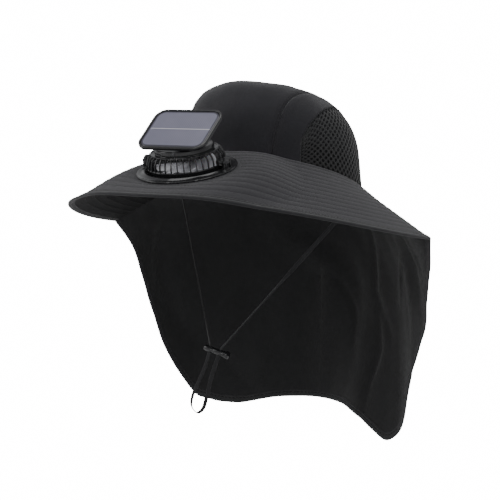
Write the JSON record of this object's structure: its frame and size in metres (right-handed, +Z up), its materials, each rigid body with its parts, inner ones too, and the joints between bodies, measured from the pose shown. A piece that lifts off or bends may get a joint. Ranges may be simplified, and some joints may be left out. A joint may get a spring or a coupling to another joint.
{
  "type": "sun hat",
  "caption": "Wide-brimmed sun hat with a vented crown, a solar-powered clip-through fan on the brim, a long neck flap and a chin cord with a sliding lock.",
  "frame": {"origin": "centre of the head opening, at the crown's base, where the hat sits on a head", "axes": "+Z up as worn, -Y to the front of the hat, +X to the wearer's left"},
  "size_m": [0.376, 0.3682, 0.3751],
  "materials": {
    "cloth": "matt plain-weave polyester",
    "trim": "matt binding tape",
    "net": "open knitted net",
    "cord": "woven flat tape",
    "black_plastic": "gloss black moulding",
    "grey_plastic": "satin grey moulding",
    "cell": "coated solar cell"
  },
  "bodies": {
    "hat": {"crown_centre": "cloth", "crown_side_left": "cloth", "crown_side_right": "cloth", "net_left": "net", "net_right": "net", "sweatband": "cloth", "brim": "cloth", "brim_binding": "trim", "neck_flap": "cloth", "flap_binding": "trim", "fan_flange": "black_plastic", "fan_clamp_ring": "black_plastic", "chin_strand_left": "cord", "chin_strand_right": "cord", "chin_loop": "cord", "cord_lock": "black_plastic", "lock_button": "black_plastic"},
    "fan": {"fan_cage": "black_plastic", "fan_motor": "black_plastic", "panel_drum": "black_plastic", "drum_button": "black_plastic"},
    "rotor": {"fan_rotor": "grey_plastic"},
    "solar_head": {"panel_bracket": "black_plastic", "panel_frame": "black_plastic", "solar_cell": "cell"}
  },
  "joints": [
    {"name": "fan_tilt", "type": "hinge", "parent": "hat", "child": "fan", "pos_m": [0, -0.17016, 0.0238], "axis": [1, 0, 0], "range_deg": [-20, 20]},
    {"name": "rotor_spin", "type": "hinge", "parent": "fan", "child": "rotor", "pos_m": [0, -0.17016, 0.0238], "axis": [0, -0.2216, 0.9751], "continuous": true},
    {"name": "panel_tilt", "type": "hinge", "parent": "fan", "child": "solar_head", "pos_m": [0, -0.17206, 0.04347], "axis": [1, 0, 0], "range_deg": [-38, 0]}
  ]
}
